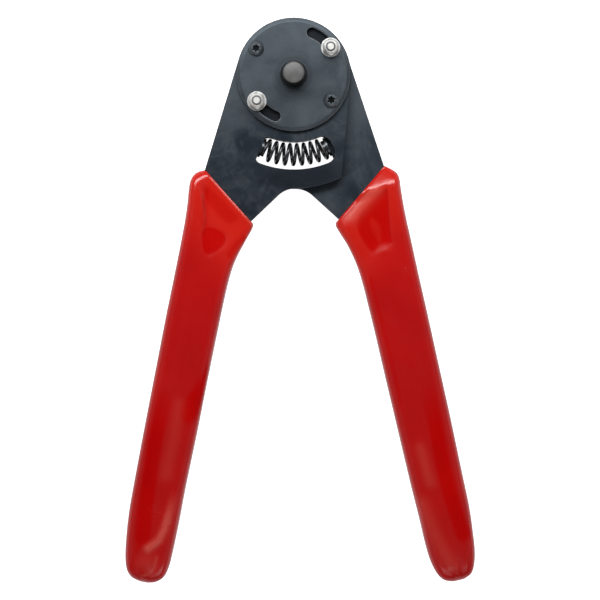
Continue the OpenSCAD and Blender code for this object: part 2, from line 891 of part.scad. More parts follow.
grip_stations = [
    [mouth_out_x, -mouth_out_y, mouth_in_x, -mouth_in_y, mouth_half_t],
    [-grip_out, down_out(0.2), mouth_in_x, down_in(0.08), mouth_half_t + 1],
    [-grip_out - shoulder, down_out(0.5), -grip_in + 3.8, down_in(0.3), half_t - 0.4],
    [-grip_out - shoulder / 2, down_out(1), -grip_in + 1.9, down_in(0.65), half_t],
    [-grip_out - 0.1, down_out(1.6), -grip_in + 0.7, down_in(1), half_t],
    [-grip_out, down_out(2.6), -grip_in + 0.3, down_in(1.5), half_t],
    [-grip_out, -grip_end / 2, -grip_in + 0.2, -grip_end / 2, half_t],
    [-grip_out + 0.1, up_end(1.8), -grip_in, up_end(1.8), half_t],
    [-grip_out + 0.4, up_end(1), -grip_in - 0.4, up_end(1), half_t],
    [-grip_out + 1, up_end(0.6), -grip_in - 0.5, up_end(0.6), half_t],
    [-grip_out + 2, up_end(0.325), -grip_in - 0.6, up_end(0.325), half_t - 0.3],
    [-grip_out + 4.2, up_end(0.1), -grip_in - 1.6, up_end(0.12), half_t - 1.2],
    [-grip_out + 7.4, up_end(0.025), -grip_in - 4.4, up_end(0.03), half_t - 2.6],
    [-grip_out + 9.2, -grip_end, -grip_in - 7, -grip_end, half_t - 4]
];

// Smooth curve through the stations
function spline(p, q, r, s, t) =
    0.5 * (2 * q + (r - p) * t + (2 * p - 5 * q + 4 * r - s) * t * t
        + (3 * q - p - 3 * r + s) * t * t * t);

between = 3;
last = len(grip_stations) - 1;
grip_rows = [
    for (i = [0:last - 1], k = [0:between - 1])
        let (
            p = grip_stations[max(i - 1, 0)],
            q = grip_stations[i],
            r = grip_stations[i + 1],
            s = grip_stations[min(i + 2, last)]
        )
        spline(p, q, r, s, k / between),
    grip_stations[last]
];

// Rounded rectangle of half sizes w and h
function section(w, h) =
    let (c = min(grip_round, h * 0.9, w * 0.9))
    concat(
        arc_n([w - c, h - c], c, 0),
        arc_n([c - w, h - c], c, 90),
        arc_n([c - w, c - h], c, 180),
        arc_n([w - c, c - h], c, 270)
    );
section_steps = 5;
function arc_n(c, r, a) = [for (i = [0:section_steps]) c + polar(r, a + 90 * i / section_steps)];

// Sleeve lofted through the rows, with the tang's room cut out
module grip() {
    per = 4 * (section_steps + 1);
    points = [
        for (row = grip_rows)
            let (
                outer = [row[0], row[1]],
                inner = [row[2], row[3]],
                mid = (outer + inner) / 2,
                half = (inner - outer) / 2,
                w = norm(half),
                dir = half / w
            )
            for (s = section(w, row[4]))
                [mid.x + dir.x * s.x, mid.y + dir.y * s.x, s.y]
    ];
    n = len(grip_rows) - 1;
    faces = concat(
        [[for (j = [0:per - 1]) j]],
        [[for (j = [per - 1:-1:0]) n * per + j]],
        [
            for (i = [0:n - 1], j = [0:per - 1], k = [0, 1])
                let (
                    a = i * per + j,
                    b = i * per + (j + 1) % per
                )
                k == 0 ? [a, a + per, b] : [b, a + per, b + per]
        ]
    );
    color(red_vinyl)
        left_open()
            translate([0, 0, left_mid_z])
                difference() {
                    polyhedron(points, faces, convexity = 10);
                    translate([0, 0, -lever_t / 2 - grip_fit])
                        linear_extrude(lever_t + 2 * grip_fit)
                            polygon(lever_outline(grip_fit));
                }
}

module left_grip() {
    grip();
}

module right_grip() {
    as_back()
        grip();
}

right_lever();
left_lever();
right_grip();
left_grip();
front_disc();
back_disc();
indenter_guide();
guide_dowels();
cam_ring();
cam_ring_dowels();
indenter(indenter_angles[0]);  // indenter_1
indenter(indenter_angles[1]);  // indenter_2
indenter(indenter_angles[2]);  // indenter_3
indenter(indenter_angles[3]);  // indenter_4
indenter_return_ring();
return_spring();
left_spring_seat();
right_spring_seat();
right_lever_screws();
left_lever_screws();
right_lever_washers();
left_lever_washers();
right_lever_nuts();
left_lever_nuts();
locator_collar();
locator_stop();
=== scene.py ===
import math

import bpy
import numpy as np
from mathutils import Matrix, Vector, noise


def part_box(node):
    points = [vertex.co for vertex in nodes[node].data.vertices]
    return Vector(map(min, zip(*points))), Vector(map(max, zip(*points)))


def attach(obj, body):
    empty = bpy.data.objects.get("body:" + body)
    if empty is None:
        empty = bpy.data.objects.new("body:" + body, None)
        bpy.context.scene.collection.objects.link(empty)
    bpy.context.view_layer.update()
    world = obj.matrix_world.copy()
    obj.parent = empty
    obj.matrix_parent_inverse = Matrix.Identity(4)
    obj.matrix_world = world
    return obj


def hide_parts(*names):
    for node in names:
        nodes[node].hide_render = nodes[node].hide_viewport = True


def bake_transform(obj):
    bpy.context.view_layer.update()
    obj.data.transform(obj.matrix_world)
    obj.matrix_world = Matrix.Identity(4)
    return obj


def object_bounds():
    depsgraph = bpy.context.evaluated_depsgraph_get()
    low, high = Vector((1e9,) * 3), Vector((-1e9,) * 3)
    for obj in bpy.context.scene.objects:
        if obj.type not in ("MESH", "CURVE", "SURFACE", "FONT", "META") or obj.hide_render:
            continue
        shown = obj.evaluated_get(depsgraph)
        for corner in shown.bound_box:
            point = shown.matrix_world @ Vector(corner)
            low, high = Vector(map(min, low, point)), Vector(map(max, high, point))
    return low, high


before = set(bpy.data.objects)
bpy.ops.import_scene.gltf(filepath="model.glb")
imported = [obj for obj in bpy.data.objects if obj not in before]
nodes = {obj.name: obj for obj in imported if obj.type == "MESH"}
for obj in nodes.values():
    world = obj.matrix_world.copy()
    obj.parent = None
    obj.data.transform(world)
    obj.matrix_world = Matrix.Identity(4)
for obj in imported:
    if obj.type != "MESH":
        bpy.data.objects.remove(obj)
cad_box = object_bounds()
mm = 0.001


# Levers: two flat plates of carbon steel, 4 mm thick, stamped to one outline and
# blackened in a hot oxide bath. They lie on each other and turn about the crimp
# axis, so each wears bright along its edges and shows arcs where the other rubs.

def new_finish(name, **constants):
    """A material; the constants go straight on the shader's own sockets."""
    made = bpy.data.materials.new(name)
    made.use_nodes = True
    shader = made.node_tree.nodes["Principled BSDF"]
    for socket, value in constants.items():
        shader.inputs[socket.replace("_", " ")].default_value = value
    return made, made.node_tree, shader


def add(tree, kind, inputs=(), **options):
    """One node; inputs are numbers, colours or the sockets of other nodes."""
    made = tree.nodes.new("ShaderNode" + kind)
    for option, value in options.items():
        setattr(made, option, value)
    for socket, value in dict(inputs).items():
        if isinstance(value, bpy.types.NodeSocket):
            tree.links.new(value, made.inputs[socket])
        else:
            made.inputs[socket].default_value = value
    return made


def place_on_piece(tree):
    """Position in the tool's frame, in metres, which stays with the moving piece."""
    return add(tree, "TexCoord").outputs["Object"]


def grain(tree, where, size, detail=3.0, stretch=(1, 1, 1), turn=0.0, warp=0.0):
    """Noise from 0 to 1 whose patches are about size metres across."""
    scaled = add(tree, "Mapping", {"Vector": where, "Rotation": (0, 0, turn),
                                   "Scale": [1 / (size * s) for s in stretch]})
    made = add(tree, "TexNoise", {"Vector": scaled.outputs[0], "Scale": 1.0,
                                  "Detail": detail, "Distortion": warp})
    return made.outputs["Fac"]


def spread(tree, value, low, high, to_low=0.0, to_high=1.0):
    """Maps the range low to high of a value to another range, and clamps it."""
    made = add(tree, "MapRange", {"Value": value, "From Min": low, "From Max": high,
                                  "To Min": to_low, "To Max": to_high})
    return made.outputs[0]


def mixed(tree, share, first, second):
    """Colour that goes from first to second as share goes from 0 to 1."""
    made = add(tree, "Mix", {0: share, 6: first, 7: second}, data_type="RGBA")
    return made.outputs[2]


def maths(tree, what, *values):
    """One arithmetic step on numbers or sockets."""
    made = add(tree, "Math", dict(enumerate(values)), operation=what)
    return made.outputs[0]


def over(tree, base, share, strength, colour):
    """Lays a colour over the base, at the given strength where share is 1."""
    return mixed(tree, maths(tree, "MULTIPLY", share, strength), base, colour)


def rounded(tree, radius):
    """The surface's normal, with the edges rounded to a radius."""
    return add(tree, "Bevel", {"Radius": radius}, samples=6).outputs[0]


def worn_edge(tree, radius, low=0.02, high=0.3):
    """1 on a sharp outer edge, 0 on a flat face."""
    true = add(tree, "NewGeometry").outputs["Normal"]
    agree = add(tree, "VectorMath", {0: rounded(tree, radius), 1: true}, operation="DOT_PRODUCT")
    return spread(tree, agree.outputs["Value"], 1 - low, 1 - high)


def round_the_axis(tree, where):
    """Position as distance from the crimp axis and angle round it."""
    apart = add(tree, "SeparateXYZ", {0: where})
    flat = add(tree, "CombineXYZ", {0: apart.outputs[0], 1: apart.outputs[1]}).outputs[0]
    far = add(tree, "VectorMath", {0: flat}, operation="LENGTH").outputs["Value"]
    angle = maths(tree, "ARCTAN2", apart.outputs[1], apart.outputs[0])
    return far, angle


def ring_grain(tree, far, angle, stretch, size, detail=2):
    """Noise drawn out in rings round the crimp axis, as turning and rubbing leave it."""
    rings_at = add(tree, "CombineXYZ", {0: far, 1: maths(tree, "MULTIPLY", angle, stretch)})
    return grain(tree, rings_at.outputs[0], size, detail=detail)


def bevel_and_bump(tree, shader, edge, *bumps):
    """Rounds the shaded edges by edge metres, and adds bumps of (height, depth) on top."""
    normal = rounded(tree, edge)
    for height, depth in bumps:
        normal = add(tree, "Bump", {"Strength": 1.0, "Distance": depth, "Height": height,
                                    "Normal": normal}).outputs[0]
    tree.links.new(normal, shader.inputs["Normal"])


def paint(piece, material):
    """Gives every slot of a piece the material."""
    if not piece.data.materials:
        piece.data.materials.append(material)
    for slot in piece.material_slots:
        slot.material = material


def near_place(tree, where, x, y, reach_x, reach_y):
    """1 in the middle of a soft oval patch of the given reach, 0 outside."""
    moved = add(tree, "Mapping", {"Vector": where, "Location": (-x / reach_x, -y / reach_y, 0),
                                  "Scale": (1 / reach_x, 1 / reach_y, 0)}).outputs[0]
    far = add(tree, "VectorMath", {0: moved}, operation="LENGTH").outputs["Value"]
    return spread(tree, far, 0.35, 1.0, 1, 0)


def blackened_plate(name, lean, side):
    """Oxide-blackened sheet: grinding grain along the handle, oil smudges and rubbed arcs, a
    painted highlight on the flank, painted shade under the discs and a darker patch below the
    window.
    """
    made, tree, shader = new_finish(name, Metallic=0.85, Specular_IOR_Level=0.5)
    where = place_on_piece(tree)
    far, angle = round_the_axis(tree, where)
    smudge = grain(tree, where, 15 * mm, detail=5, warp=1.2)
    blotch = grain(tree, where, 4 * mm, detail=4, warp=0.9)
    lines = grain(tree, where, 0.35 * mm, detail=2, stretch=(1, 40, 1), turn=lean)
    rings = ring_grain(tree, far, angle, 6 * mm, 0.7 * mm, detail=3)
    # the right plate is painted a little paler than the left
    pale = 1 + 0.09 * side
    base = mixed(tree, spread(tree, smudge, 0.38, 0.62),
                 (0.023 * pale, 0.032 * pale, 0.044 * pale, 1),
                 (0.043 * pale, 0.055 * pale, 0.068 * pale, 1))
    base = over(tree, base, spread(tree, blotch, 0.50, 0.70), 0.30, (0.075, 0.086, 0.094, 1))
    # painted highlight: a lighter patch on each flank near the head, where the lamp's broad
    # reflection falls
    flank = near_place(tree, where, side * 23 * mm, -6 * mm, 13 * mm, 17 * mm)
    base = over(tree, base, flank, 0.7, (0.082, 0.097, 0.112, 1))
    # wiped oil dries in thin curls
    swirl = grain(tree, where, 13 * mm, detail=1, warp=2.2)
    curl = maths(tree, "ABSOLUTE", maths(tree, "SUBTRACT", swirl, 0.5))
    curl = maths(tree, "MULTIPLY", spread(tree, curl, 0.010, 0.060, 1, 0),
                 spread(tree, smudge, 0.42, 0.60))
    base = over(tree, base, curl, 0.30, (0.078, 0.090, 0.100, 1))
    # painted darker below the window, where the other lever's lobe sweeps over the plate
    swept = spread(tree, far, lever_lobe_r - 0.4 * mm, lever_lobe_r + 0.5 * mm, 1, 0)
    below_window = near_place(tree, where, 4 * mm, -37 * mm, 24 * mm, 11 * mm)
    darker_below_window = maths(tree, "MULTIPLY", maths(tree, "MULTIPLY", swept, below_window),
                 spread(tree, smudge, 0.25, 0.55, 0.65, 1.0))
    base = mixed(tree, darker_below_window, base, (0.016, 0.021, 0.030, 1))
    # painted shade: the plate is darkened under the discs, so that their slots look dark inside
    painted_shade_under_discs = spread(tree, far, disc_r - 1.0 * mm, disc_r, 1, 0)
    base = over(tree, base, painted_shade_under_discs, 0.85, (0.010, 0.012, 0.015, 1))
    # bare steel in the rubbed arcs and along the edges
    arcs = maths(tree, "MULTIPLY", swept, spread(tree, rings, 0.6, 0.75))
    base = over(tree, base, arcs, 0.12, (0.10, 0.11, 0.12, 1))
    worn = maths(tree, "MULTIPLY", worn_edge(tree, 0.3 * mm),
                 spread(tree, blotch, 0.3, 0.6, 0.15, 0.5))
    base = mixed(tree, worn, base, (0.24, 0.25, 0.26, 1))
    tree.links.new(base, shader.inputs["Base Color"])
    rough = maths(tree, "ADD", spread(tree, smudge, 0.3, 0.7, 0.42, 0.58),
                  spread(tree, blotch, 0.4, 0.7, -0.03, 0.05))
    tree.links.new(rough, shader.inputs["Roughness"])
    bevel_and_bump(tree, shader, 0.25 * mm, (lines, 0.004 * mm), (blotch, 0.015 * mm))
    return made


lever_lean = math.radians(12)
lever_lobe_r = 41.4 * mm
disc_r = 20.6 * mm
paint(nodes["left_lever"], blackened_plate("left_plate", -lever_lean, -1))
paint(nodes["right_lever"], blackened_plate("right_plate", lever_lean, 1))


# Discs: turned covers of softer steel on the front and the back of the head, phosphated
# to a blue-grey. Two screws hold each to one lever, and two arc slots let the
# screws of the other lever swing past.

def phosphated(name):
    """Blue-grey phosphate: fine crystals, faint turning rings, finger smudges, painted shade round
    the collar and edges painted light.
    """
    made, tree, shader = new_finish(name, Metallic=0.75, Specular_IOR_Level=0.4)
    where = place_on_piece(tree)
    far, angle = round_the_axis(tree, where)
    smudge = grain(tree, where, 11 * mm, detail=5, warp=1.0)
    crystal = grain(tree, where, 0.35 * mm, detail=3)
    turned = ring_grain(tree, far, angle, 3 * mm, 0.30 * mm)
    base = mixed(tree, spread(tree, smudge, 0.32, 0.70),
                 (0.053, 0.067, 0.080, 1), (0.078, 0.095, 0.110, 1))
    base = over(tree, base, spread(tree, crystal, 0.45, 0.7), 0.20, (0.12, 0.135, 0.15, 1))
    # painted shade: a darker ring round the collar's foot, where its shadow falls on the disc
    ring = maths(tree, "MULTIPLY", spread(tree, far, 5.0 * mm, 5.4 * mm),
                 spread(tree, far, 6.2 * mm, 7.2 * mm, 1, 0))
    base = over(tree, base, ring, 0.4, (0.030, 0.036, 0.043, 1))
    # the edges are painted light: partly worn bare, partly a painted highlight along the slots and
    # the rim
    worn = maths(tree, "MULTIPLY", worn_edge(tree, disc_edge_r, 0.01, 0.16),
                 spread(tree, smudge, 0.3, 0.65, 0.6, 1.0))
    base = mixed(tree, worn, base, (0.42, 0.43, 0.43, 1))
    tree.links.new(base, shader.inputs["Base Color"])
    tree.links.new(spread(tree, smudge, 0.3, 0.7, 0.40, 0.52), shader.inputs["Roughness"])
    bevel_and_bump(tree, shader, disc_edge_r, (turned, 0.004 * mm), (crystal, 0.006 * mm))
    return made


disc_edge_r = 0.45 * mm
disc_finish = phosphated("phosphated_disc")
for name in ("front_disc", "back_disc"):
    paint(nodes[name], disc_finish)


# Screws: four M3 button heads in black oxide, two from the front and two from the back.
# Each goes through the whole stack into a lock nut, and its end is ground
# bright where it stands out of the nut.

bolt_circle_r, bolt_lean = 16.6 * mm, math.radians(35.3)
bolt_x, bolt_y = bolt_circle_r * math.cos(bolt_lean), bolt_circle_r * math.sin(bolt_lean)
back_head_z, front_head_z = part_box("left_lever_screws")[0].z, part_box("right_lever_screws")[1].z
back_nut_z, front_nut_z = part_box("right_lever_nuts")[0].z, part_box("left_lever_nuts")[1].z


def off_the_bolts(tree, where):
    """Distance from the axis of the nearest of the four bolts."""
    off = add(tree, "VectorMath", {0: where}, operation="ABSOLUTE").outputs[0]
    for what, by in (("SUBTRACT", (bolt_x, bolt_y, 0)), ("MULTIPLY", (1, 1, 0))):
        off = add(tree, "VectorMath", {0: off, 1: by}, operation=what).outputs[0]
    return add(tree, "VectorMath", {0: off}, operation="LENGTH").outputs["Value"]


def screw_black(name):
    """Black oxide with rubbed edges, painted shade in the sockets and a bright ground end."""
    made, tree, shader = new_finish(name, Metallic=0.8, Specular_IOR_Level=0.5)
    where = place_on_piece(tree)
    height = add(tree, "SeparateXYZ", {0: where}).outputs[2]
    off_bolt = off_the_bolts(tree, where)
    speck = grain(tree, where, 0.8 * mm, detail=4)
    base = mixed(tree, spread(tree, speck, 0.35, 0.7),
                 (0.105, 0.123, 0.139, 1), (0.148, 0.170, 0.190, 1))
    base = over(tree, base, worn_edge(tree, 0.2 * mm), 0.35, (0.26, 0.27, 0.28, 1))
    # painted shade: the broached sockets are painted nearly black below the heads' faces, where
    # they lie in shade
    deep = maths(tree, "MULTIPLY",
                 spread(tree, height, front_head_z - 0.35 * mm, front_head_z - 0.25 * mm, 1, 0),
                 spread(tree, height, back_head_z + 0.25 * mm, back_head_z + 0.35 * mm))
    socket = maths(tree, "MULTIPLY", spread(tree, off_bolt, 1.30 * mm, 1.42 * mm, 1, 0), deep)
    base = mixed(tree, socket, base, (0.006, 0.008, 0.010, 1))
    # the thread's end is ground bright where it stands out of the nut
    past_nut = maths(tree, "MAXIMUM",
                     spread(tree, height, front_nut_z - 0.05 * mm, front_nut_z),
                     spread(tree, height, back_nut_z, back_nut_z + 0.05 * mm, 1, 0))
    cut_end = maths(tree, "MULTIPLY", past_nut,
                    spread(tree, off_bolt, 1.12 * mm, 1.24 * mm, 1, 0))
    base = mixed(tree, cut_end, base, (0.95, 0.94, 0.90, 1))
    tree.links.new(base, shader.inputs["Base Color"])
    tree.links.new(spread(tree, speck, 0.3, 0.7, 0.30, 0.42), shader.inputs["Roughness"])
    bevel_and_bump(tree, shader, 0.15 * mm, (speck, 0.010 * mm))
    return made


screw_finish = screw_black("black_oxide_screw")
for name in ("right_lever_screws", "left_lever_screws"):
    paint(nodes[name], screw_finish)


# Washers and lock nuts: bright zinc plate on steel, one pair in front and one behind.
# They clamp nothing tight: the nuts stop where the levers still turn freely.

def zinc_plate(name):
    """Slightly cloudy zinc plate, with the nylon ring of each nut."""
    made, tree, shader = new_finish(name, Specular_IOR_Level=0.5)
    where = place_on_piece(tree)
    height = add(tree, "SeparateXYZ", {0: where}).outputs[2]
    off_bolt = off_the_bolts(tree, where)
    cloud = grain(tree, where, 1.6 * mm, detail=4, warp=0.6)
    fine = grain(tree, where, 0.15 * mm, detail=2)
    base = mixed(tree, spread(tree, cloud, 0.3, 0.7),
                 (0.80, 0.81, 0.79, 1), (0.95, 0.95, 0.93, 1))
    # the nylon ring in each nut's outer end, grey with handling, in a rolled groove
    outer_end = maths(tree, "MAXIMUM",
                      spread(tree, height, front_nut_z - 0.3 * mm, front_nut_z - 0.2 * mm),
                      spread(tree, height, back_nut_z + 0.2 * mm, back_nut_z + 0.3 * mm, 1, 0))
    nylon = maths(tree, "MULTIPLY", outer_end,
                  spread(tree, off_bolt, 1.78 * mm, 1.90 * mm, 1, 0))
    base = mixed(tree, nylon, base, (0.28, 0.28, 0.26, 1))
    # painted shade: the hexagon outside the rolled groove is darkened, where it lies in shade
    film = maths(tree, "MULTIPLY", spread(tree, off_bolt, 2.52 * mm, 2.62 * mm),
                 spread(tree, off_bolt, 3.08 * mm, 3.18 * mm, 1, 0))
    base = over(tree, base, film, 0.22, (0.20, 0.20, 0.19, 1))
    tree.links.new(base, shader.inputs["Base Color"])
    tree.links.new(maths(tree, "SUBTRACT", 0.95, nylon), shader.inputs["Metallic"])
    tree.links.new(spread(tree, cloud, 0.3, 0.7, 0.30, 0.44), shader.inputs["Roughness"])
    bevel_and_bump(tree, shader, 0.12 * mm, (fine, 0.004 * mm), (cloud, 0.010 * mm))
    return made


zinc_finish = zinc_plate("bright_zinc")
for side in ("right_lever", "left_lever"):
    paint(nodes[side + "_washers"], zinc_finish)
    paint(nodes[side + "_nuts"], zinc_finish)


# Return spring: eight turns of music wire, oiled black. It lies bent in the arc windows
# of both levers, between two flanged seats, and pushes the handles apart.

spring_arc_r, spring_coil_r, spring_wire_r = 28.9 * mm, 3.64 * mm, 0.64 * mm
# how many turns, and how far round the first one the wire starts
spring_turns, spring_first_turn = 8, 0.17
window_half_angle, seat_depth = math.radians(25), 1.35 * mm
spring_half_angle = window_half_angle - seat_depth / spring_arc_r
spring_low, spring_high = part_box("return_spring")
spring_mid_z = (spring_low.z + spring_high.z) / 2


def coil_point(turn, reach):
    """Point at a distance from the coil's bent centre line, after a number of turns."""
    angle = -math.pi / 2 + spring_half_angle * (2 * turn / spring_turns - 1)
    wound = 2 * math.pi * (turn + spring_first_turn)
    r = spring_arc_r + reach * math.cos(wound)
    z = spring_mid_z + reach * math.sin(wound)
    return Vector((r * math.cos(angle), r * math.sin(angle), z))


def new_piece(name, points, faces):
    """A smooth-shaded mesh as an object in the scene."""
    mesh = bpy.data.meshes.new(name)
    mesh.from_pydata(points, [], faces)
    mesh.shade_smooth()
    piece = bpy.data.objects.new(name, mesh)
    bpy.context.scene.collection.objects.link(piece)
    return piece


def tube(name, centres, outward, radius, sides):
    """Closed tube through the centres; each end is rounded off by two smaller rings."""
    points, last = [], len(centres) - 1
    # ring width and how far it stands out, both as shares of the radius
    end_rings = ((0.55, 0.75), (0.86, 0.45))
    rings = [(0, width, -past) for width, past in end_rings]
    rings += [(i, 1.0, 0.0) for i in range(len(centres))]
    rings += [(last, width, past) for width, past in reversed(end_rings)]
    for i, width, past in rings:
        ahead = (centres[min(i + 1, last)] - centres[max(i - 1, 0)]).normalized()
        out = (outward[i] - ahead * outward[i].dot(ahead)).normalized()
        side = ahead.cross(out)
        for k in range(sides):
            a = 2 * math.pi * k / sides
            points.append(centres[i] + ahead * past * radius
                          + (out * math.cos(a) + side * math.sin(a)) * radius * width)
    faces = [tuple(reversed(range(sides)))]
    for i in range(len(rings) - 1):
        for k in range(sides):
            a, b = i * sides + k, i * sides + (k + 1) % sides
            faces.append((a, b, b + sides, a + sides))
    faces.append(tuple(range(len(points) - sides, len(points))))
    return new_piece(name, points, faces)


def fine_bump(tree, height, depth):
    """Normal with a bump of the given depth on it."""
    made = add(tree, "Bump", {"Strength": 1.0, "Distance": depth, "Height": height})
    return made.outputs[0]


def oiled_wire(name):
    """Drawn wire under an uneven film of black oil."""
    made, tree, shader = new_finish(name, Metallic=0.9, Specular_IOR_Level=0.5)
    where = place_on_piece(tree)
    film = grain(tree, where, 2.2 * mm, detail=4, warp=0.5)
    drawn = grain(tree, where, 0.12 * mm, detail=2)
    base = mixed(tree, spread(tree, film, 0.35, 0.72),
                 (0.045, 0.050, 0.056, 1), (0.12, 0.125, 0.13, 1))
    tree.links.new(base, shader.inputs["Base Color"])
    tree.links.new(spread(tree, film, 0.3, 0.7, 0.22, 0.36), shader.inputs["Roughness"])
    tree.links.new(fine_bump(tree, drawn, 0.003 * mm), shader.inputs["Normal"])
    return made


points_per_turn, wire_sides = 36, 14
turns = [i / points_per_turn for i in range(spring_turns * points_per_turn + 1)]
centre_line = [coil_point(t, spring_coil_r) for t in turns]
outward = [coil_point(t, spring_coil_r + mm) - coil_point(t, spring_coil_r) for t in turns]
spring = tube("coil_spring", centre_line, outward, spring_wire_r, wire_sides)
wire_finish = oiled_wire("oiled_spring_wire")
paint(spring, wire_finish)
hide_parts("return_spring")
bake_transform(spring)


# Crimping mechanism: turned and ground tool steel, left bare and oiled; the spring seats and the
# indenters' return ring take the spring's oiled wire finish.
# The guide is keyed into the right lever, the cam ring into the left one, and the
# four indenters slide between them; from outside only the nose and the seats show.

def ground_steel(name):
    """Bare tool steel with turning rings and a few stains."""
    made, tree, shader = new_finish(name, Metallic=1.0, Specular_IOR_Level=0.5)
    where = place_on_piece(tree)
    far, angle = round_the_axis(tree, where)
    turned = ring_grain(tree, far, angle, 2 * mm, 0.22 * mm)
    stain = grain(tree, where, 4 * mm, detail=4, warp=0.6)
    base = mixed(tree, spread(tree, stain, 0.35, 0.7),
                 (0.36, 0.355, 0.34, 1), (0.52, 0.52, 0.51, 1))
    base = over(tree, base, worn_edge(tree, 0.15 * mm), 0.5, (0.75, 0.75, 0.74, 1))
    tree.links.new(base, shader.inputs["Base Color"])
    tree.links.new(spread(tree, stain, 0.3, 0.7, 0.24, 0.38), shader.inputs["Roughness"])
    bevel_and_bump(tree, shader, 0.12 * mm, (turned, 0.004 * mm))
    return made


steel_finish = ground_steel("ground_tool_steel")
for name in ("indenter_guide", "guide_dowels", "cam_ring", "cam_ring_dowels",
             "indenter_1", "indenter_2", "indenter_3", "indenter_4", "locator_stop"):
    paint(nodes[name], steel_finish)
for name in ("indenter_return_ring", "left_spring_seat", "right_spring_seat"):
    paint(nodes[name], wire_finish)


# Locator collar: a turned steel cap, phosphated grey and screwed on the guide's
# threaded end, where it stops the far end of the terminal.

def turned_cap(name):
    """Grey phosphate over turning rings, with painted shade down the side and a painted highlight
    on the crown.
    """
    made, tree, shader = new_finish(name, Metallic=0.6, Specular_IOR_Level=0.4)
    where = place_on_piece(tree)
    far, angle = round_the_axis(tree, where)
    turned = ring_grain(tree, far, angle, 2 * mm, 0.25 * mm)
    dust = grain(tree, where, 1.8 * mm, detail=5, warp=0.5)
    base = mixed(tree, spread(tree, dust, 0.35, 0.7),
                 (0.105, 0.106, 0.106, 1), (0.150, 0.151, 0.150, 1))
    # the turned side and the foot are painted nearly black: darker metal there, and painted shade
    # round the foot
    place = add(tree, "SeparateXYZ", {0: where}).outputs
    crown_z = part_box("locator_collar")[1].z
    dark_wall_and_shade = spread(tree, place[2], crown_z - 2.2 * mm, crown_z - 0.9 * mm, 1, 0)
    base = mixed(tree, dark_wall_and_shade, base, (0.010, 0.012, 0.014, 1))
    # painted highlight: the crown is painted lighter on the handles' side, where light falls on it
    rubbed = maths(tree, "MULTIPLY", spread(tree, place[1], -3.4 * mm, 2.0 * mm, 0.45, 0),
                   maths(tree, "SUBTRACT", 1, dark_wall_and_shade))
    base = mixed(tree, rubbed, base, (0.25, 0.25, 0.24, 1))
    base = over(tree, base, worn_edge(tree, 0.25 * mm), 0.30, (0.22, 0.225, 0.22, 1))
    tree.links.new(base, shader.inputs["Base Color"])
    tree.links.new(spread(tree, dust, 0.3, 0.7, 0.42, 0.55), shader.inputs["Roughness"])
    bevel_and_bump(tree, shader, 0.2 * mm, (turned, 0.006 * mm), (dust, 0.010 * mm))
    return made


paint(nodes["locator_collar"], turned_cap("turned_collar"))


# Grips: sleeves of soft red vinyl, dipped, about 1.5 mm thick and pulled over the levers.
# The mouth ends in a rolled bead, below it the vinyl sinks onto the plate, and
# further down it bridges the narrower tang as a full rounded handle.

# Outer edge point, inner edge point and half thickness of the sleeve, from the mouth to
# the end, handles closed, in millimetres. The right sleeve is drawn mirrored.
left_stations = np.array([
    (-24.9, -40.3, -4.0, -56.1, 3.2),
    (-27.1, -41.3, -3.8, -57.1, 4.08),
    (-28.7, -42.9, -4.1, -58.7, 4.84),
    (-29.5, -45.4, -4.9, -61.1, 5.2),
    (-29.4, -49.0, -6.0, -64.6, 5.3),
    (-28.9, -54.0, -7.2, -68.6, 5.4),
    (-28.6, -60.0, -8.2, -73.6, 5.5),
    (-28.5, -68.0, -8.7, -80.0, 5.5),
    (-28.5, -80.0, -8.9, -88.0, 5.5),
    (-28.6, -96.0, -9.0, -99.0, 5.5),
    (-28.5, -115.0, -9.1, -116.0, 5.5),
    (-28.4, -135.0, -9.1, -135.0, 5.5),
    (-28.2, -155.0, -9.3, -155.0, 5.5),
    (-27.9, -168.0, -9.2, -168.0, 5.5),
    (-27.0, -178.0, -9.3, -178.0, 5.3),
    (-26.0, -184.5, -9.6, -184.5, 4.9),
    (-24.6, -188.8, -10.7, -188.8, 4.1),
    (-22.4, -191.2, -13.1, -191.2, 2.8),
    (-19.4, -192.2, -16.0, -192.2, 0.9),
])
right_stations = np.array([
    (-25.2, -39.4, -3.2, -55.8, 3.1),
    (-27.5, -41.3, -2.9, -57.0, 3.9),
    (-29.0, -43.0, -3.3, -58.6, 4.5),
    (-29.5, -45.4, -4.2, -61.2, 5.0),
    (-29.2, -49.0, -5.4, -64.6, 5.3),
    (-28.9, -54.0, -6.4, -68.6, 5.4),
    (-28.7, -60.0, -7.3, -73.6, 5.5),
    (-28.7, -68.0, -7.8, -80.0, 5.5),
    (-28.6, -80.0, -8.0, -88.0, 5.5),
    (-28.6, -96.0, -8.2, -99.0, 5.5),
    (-28.5, -115.0, -8.3, -116.0, 5.5),
    (-28.4, -135.0, -8.5, -135.0, 5.5),
    (-28.1, -155.0, -8.7, -155.0, 5.5),
    (-27.9, -168.0, -9.0, -168.0, 5.5),
    (-27.1, -178.0, -9.1, -178.0, 5.3),
    (-26.3, -184.5, -9.6, -184.5, 4.9),
    (-24.9, -189.4, -10.9, -189.4, 4.1),
    (-23.1, -192.3, -12.9, -192.3, 2.8),
    (-20.3, -193.6, -15.8, -193.6, 0.9),
])


def smooth_curve(rows, at):
    """Smooth curve through the rows, at fractional row numbers."""
    n = len(rows) - 1
    i = np.clip(np.floor(at).astype(int), 0, n - 1)
    t = (at - i)[:, None]
    p, q = rows[np.maximum(i - 1, 0)], rows[i]
    r, s = rows[i + 1], rows[np.minimum(i + 2, n)]
    return 0.5 * (2 * q + (r - p) * t + (2 * p - 5 * q + 4 * r - s) * t ** 2
                  + (3 * q - p - 3 * r + s) * t ** 3)


def ease(value, low, high):
    """Goes smoothly from 0 at low to 1 at high."""
    t = np.clip((value - low) / (high - low), 0, 1)
    return t * t * (3 - 2 * t)


